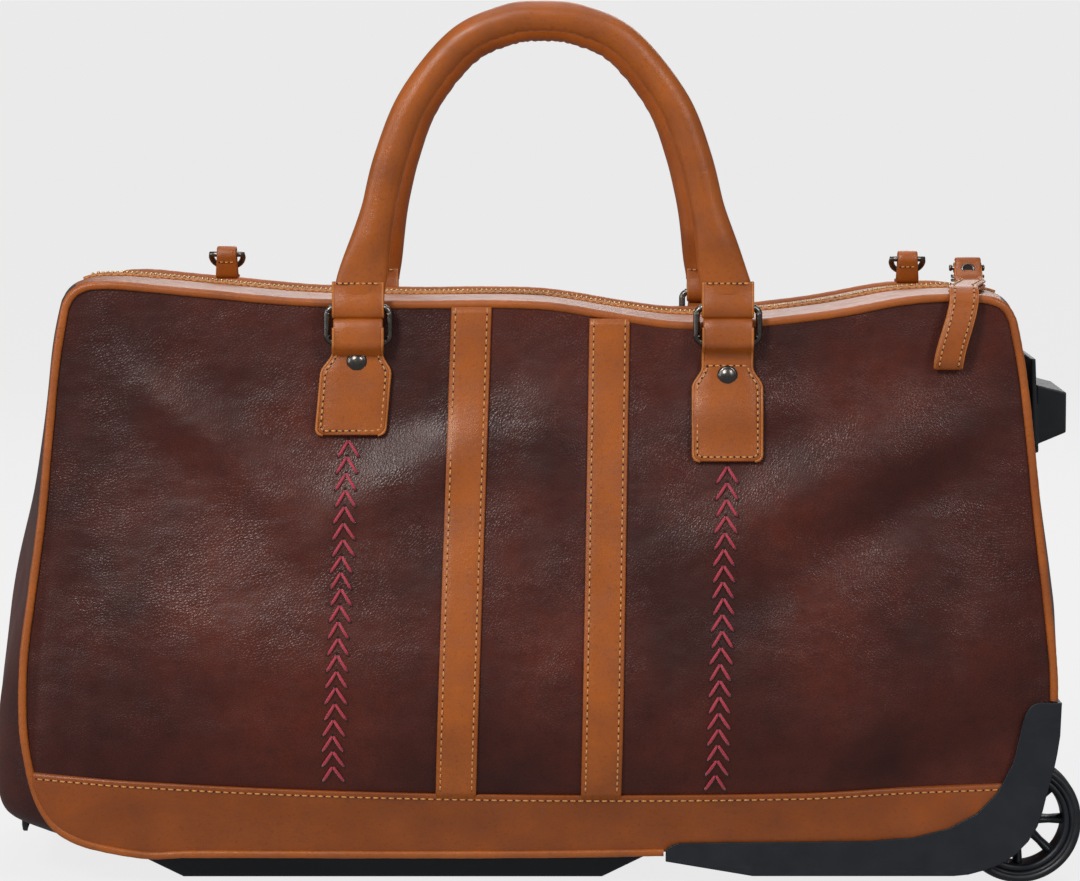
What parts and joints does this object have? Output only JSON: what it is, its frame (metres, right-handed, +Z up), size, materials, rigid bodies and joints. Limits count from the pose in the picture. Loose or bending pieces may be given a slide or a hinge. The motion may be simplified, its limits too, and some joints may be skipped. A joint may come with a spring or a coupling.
{
  "type": "wheeled holdall",
  "caption": "Soft leather travel holdall with zip top, carry handles on metal rings, corner wheels and a telescopic pull handle hidden in the base.",
  "frame": {"origin": "on the floor, under the middle of the object's box", "axes": "+X towards the wheel end, -Y the front face, +Z up as the bag stands level"},
  "size_m": [0.5632, 0.2606, 0.4503],
  "materials": {
    "brown_leather": "pebbled, semi-gloss",
    "tan_leather": "smooth, burnished",
    "zip_fabric": "woven",
    "brass_zip": "satin",
    "gunmetal": "dark polished",
    "black_plastic": "satin moulded",
    "tyre_rubber": "matt",
    "tube_aluminium": "brushed"
  },
  "bodies": {
    "bag": {"front_panel": "brown_leather", "rear_panel": "brown_leather", "end_gusset_left": "brown_leather", "end_gusset_right": "brown_leather", "base_gusset": "brown_leather", "front_band": "tan_leather", "rear_band": "tan_leather", "front_stripe_left": "tan_leather", "front_stripe_right": "tan_leather", "rear_stripe_left": "tan_leather", "rear_stripe_right": "tan_leather", "front_piping": "tan_leather", "rear_piping": "tan_leather", "zip_gusset_front": "tan_leather", "zip_gusset_rear": "tan_leather", "zip_tape": "zip_fabric", "zip_chain": "brass_zip", "front_patch_left": "tan_leather", "front_patch_right": "tan_leather", "rear_patch_left": "tan_leather", "rear_patch_right": "tan_leather", "front_rivet_left": "gunmetal", "front_rivet_right": "gunmetal", "rear_rivet_left": "gunmetal", "rear_rivet_right": "gunmetal", "strap_tab_left": "tan_leather", "strap_tab_right": "tan_leather", "front_wheel_housing": "black_plastic", "rear_wheel_housing": "black_plastic", "front_axle": "gunmetal", "rear_axle": "gunmetal", "skid": "black_plastic", "stand_foot": "black_plastic", "trolley_outer_front": "tube_aluminium", "trolley_outer_rear": "tube_aluminium", "trolley_bezel": "black_plastic", "base_tray": "black_plastic", "base_board": "zip_fabric"},
    "front_wheel": {"front_wheel_core": "black_plastic", "front_tyre": "tyre_rubber"},
    "rear_wheel": {"rear_wheel_core": "black_plastic", "rear_tyre": "tyre_rubber"},
    "front_rings": {"front_ring_left": "gunmetal", "front_ring_right": "gunmetal"},
    "front_carry_handle": {"front_handle": "tan_leather"},
    "rear_rings": {"rear_ring_left": "gunmetal", "rear_ring_right": "gunmetal"},
    "rear_carry_handle": {"rear_handle": "tan_leather"},
    "slider": {"zip_slider": "gunmetal", "puller_pin": "gunmetal"},
    "pull_strap": {"zip_puller": "tan_leather"},
    "left_d_ring": {"d_ring_left": "gunmetal"},
    "right_d_ring": {"d_ring_right": "gunmetal"},
    "trolley_middle": {"trolley_middle_front": "tube_aluminium", "trolley_middle_rear": "tube_aluminium"},
    "trolley_inner": {"trolley_inner_front": "tube_aluminium", "trolley_inner_rear": "tube_aluminium", "trolley_grip": "black_plastic"},
    "release_button": {"trolley_button": "gunmetal"}
  },
  "joints": [
    {"name": "front_wheel_spin", "type": "hinge", "parent": "bag", "child": "front_wheel", "pos_m": [0.24962, -0.0963, 0.032], "axis": [0, 1, 0], "continuous": true},
    {"name": "rear_wheel_spin", "type": "hinge", "parent": "bag", "child": "rear_wheel", "pos_m": [0.24962, 0.0963, 0.032], "axis": [0, 1, 0], "continuous": true},
    {"name": "front_ring_swing", "type": "hinge", "parent": "bag", "child": "front_rings", "pos_m": [0.00582, -0.1225, 0.279], "axis": [1, 0, 0], "range_deg": [0, 110]},
    {"name": "front_handle_fold", "type": "hinge", "parent": "front_rings", "child": "front_carry_handle", "pos_m": [0.00582, -0.1225, 0.2965], "axis": [1, 0, 0], "range_deg": [-15, 70]},
    {"name": "rear_ring_swing", "type": "hinge", "parent": "bag", "child": "rear_rings", "pos_m": [0.00582, 0.1225, 0.272], "axis": [-1, 0, 0], "range_deg": [0, 110]},
    {"name": "rear_handle_fold", "type": "hinge", "parent": "rear_rings", "child": "rear_carry_handle", "pos_m": [0.00582, 0.1225, 0.2895], "axis": [-1, 0, 0], "range_deg": [-15, 70]},
    {"name": "zip_slide", "type": "slide", "parent": "bag", "child": "slider", "axis": [-0.9996, 0, -0.03], "range_m": [0, 0.04]},
    {"name": "pull_strap_lift", "type": "hinge", "parent": "slider", "child": "pull_strap", "pos_m": [0.23011, 0, 0.30961], "axis": [-0.9996, 0, -0.03], "range_deg": [0, 120]},
    {"name": "left_d_ring_swing", "type": "hinge", "parent": "bag", "child": "left_d_ring", "pos_m": [-0.16268, 0.024, 0.31554], "axis": [1, 0, 0], "range_deg": [0, 180]},
    {"name": "right_d_ring_swing", "type": "hinge", "parent": "bag", "child": "right_d_ring", "pos_m": [0.20032, 0.024, 0.31305], "axis": [1, 0, 0], "range_deg": [0, 180]},
    {"name": "trolley_middle_slide", "type": "slide", "parent": "bag", "child": "trolley_middle", "axis": [-1, 0, 0], "range_m": [0, 0.215]},
    {"name": "trolley_inner_slide", "type": "slide", "parent": "trolley_middle", "child": "trolley_inner", "axis": [-1, 0, 0], "range_m": [0, 0.215]},
    {"name": "button_press", "type": "slide", "parent": "trolley_inner", "child": "release_button", "axis": [1, 0, 0], "range_m": [0, 0.002], "stiffness_N_per_m": 300}
  ]
}
